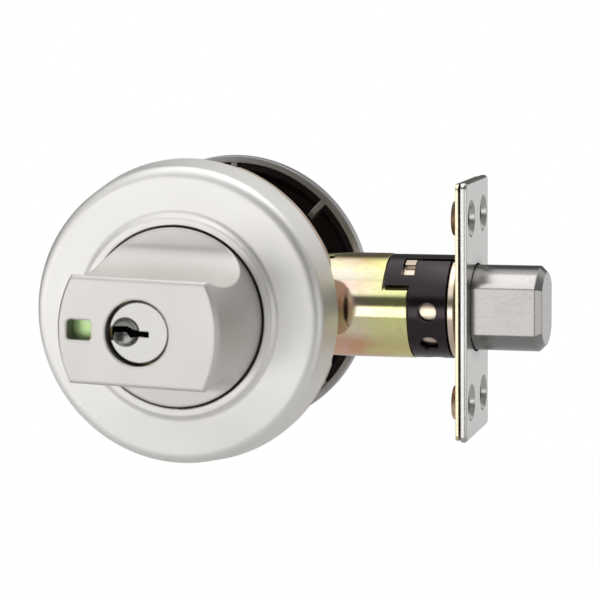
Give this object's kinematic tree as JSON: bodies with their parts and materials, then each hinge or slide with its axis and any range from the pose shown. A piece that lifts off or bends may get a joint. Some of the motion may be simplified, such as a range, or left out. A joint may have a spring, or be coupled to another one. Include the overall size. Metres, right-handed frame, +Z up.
{
  "type": "deadbolt door lock",
  "caption": "Deadbolt lock: turn knob with key cylinder and indicator window, round roses, tubular case and a flat-sided bolt behind a screwed faceplate.",
  "frame": {"origin": "where the knob's turning axis crosses the bolt's axis, in the middle of the door", "axes": "+X the way the bolt is thrown, -Y the room side, +Y the street side, +Z up"},
  "size_m": [0.1084, 0.0917, 0.0664],
  "materials": {
    "knob_satin": "satin chrome plate on cast zinc",
    "rose_satin": "satin chrome plate on pressed brass",
    "outer_satin": "satin chrome plate on cast zinc",
    "plug_satin": "satin nickel plate on turned brass",
    "brass": "bare machined brass",
    "spring_steel": "bright spring steel",
    "machine_steel": "plain machined steel",
    "cast_zinc": "bare die-cast zinc",
    "yellow_zinc": "yellow passivated zinc plate",
    "pale_zinc": "pale passivated zinc plate",
    "black_steel": "black oxide on rolled steel",
    "stainless": "brushed stainless sheet",
    "bolt_satin": "satin nickel plate on brass",
    "black_liner": "moulded black nylon",
    "white_nylon": "moulded white nylon",
    "green_field": "green foil",
    "red_field": "red foil"
  },
  "bodies": {
    "lock_body": {"inner_rose": "rose_satin", "inner_mounting_plate": "yellow_zinc", "knob_bush": "white_nylon", "latch_tube": "yellow_zinc", "backset_sleeve": "black_steel", "front_tube": "pale_zinc", "back_plate": "pale_zinc", "faceplate": "stainless", "case_cheek_room_side": "yellow_zinc", "case_cheek_street_side": "yellow_zinc", "case_rivets": "machine_steel", "detent_spring": "spring_steel", "outer_rose": "outer_satin", "rose_liner": "black_liner", "outer_cylinder_housing": "brass", "outer_driver_pins": "brass", "outer_pin_springs": "spring_steel", "outer_spring_cover": "brass", "cylinder_retainer": "yellow_zinc", "retainer_screws": "machine_steel", "through_bolts": "yellow_zinc"},
    "knob": {"turn_knob": "knob_satin", "knob_cylinder_housing": "brass", "knob_driver_pins": "brass", "knob_pin_springs": "spring_steel", "knob_spring_cover": "brass", "knob_hub": "cast_zinc", "knob_hub_screws": "machine_steel", "wave_washer": "spring_steel", "knob_circlip": "spring_steel", "knob_tail": "machine_steel", "tail_pin": "machine_steel", "bolt_hub": "cast_zinc", "drive_pin": "machine_steel"},
    "knob_plug": {"knob_key_plug": "plug_satin", "knob_key_pins": "brass", "knob_plug_clip": "spring_steel", "lock_cam": "machine_steel", "lock_cam_screws": "machine_steel"},
    "indicator": {"indicator_slide": "white_nylon", "green_flag": "green_field", "red_flag": "red_field"},
    "outer_plug": {"outer_key_plug": "plug_satin", "outer_key_pins": "brass", "outer_plug_clip": "spring_steel", "outer_tail": "machine_steel", "outer_tail_screws": "machine_steel"},
    "bolt": {"bolt": "bolt_satin", "bolt_tail": "yellow_zinc", "tail_rivets": "machine_steel", "anti_saw_pins": "machine_steel"}
  },
  "joints": [
    {"name": "knob_turn", "type": "hinge", "parent": "lock_body", "child": "knob", "pos_m": [0, 0, 0], "axis": [0, 1, 0], "range_deg": [0, 90], "deforming": ["detent_spring"]},
    {"name": "bolt_throw", "type": "slide", "parent": "lock_body", "child": "bolt", "axis": [1, 0, 0], "range_m": [-0.015, 0]},
    {"name": "knob_key_turn", "type": "hinge", "parent": "knob", "child": "knob_plug", "pos_m": [0, 0, 0], "axis": [0, 1, 0], "range_deg": [0, 90]},
    {"name": "indicator_travel", "type": "slide", "parent": "knob", "child": "indicator", "axis": [0.0349, 0, 0.9994], "range_m": [0, 0.0048]},
    {"name": "outer_key_turn", "type": "hinge", "parent": "lock_body", "child": "outer_plug", "pos_m": [0, 0, 0], "axis": [0, 1, 0], "range_deg": [0, 90]}
  ],
  "couplings": [
    {"joint": "bolt_throw", "follows": "knob_turn", "m_per_rad": -0.0095493},
    {"joint": "indicator_travel", "follows": "knob_key_turn", "m_per_rad": 0.0030558}
  ]
}
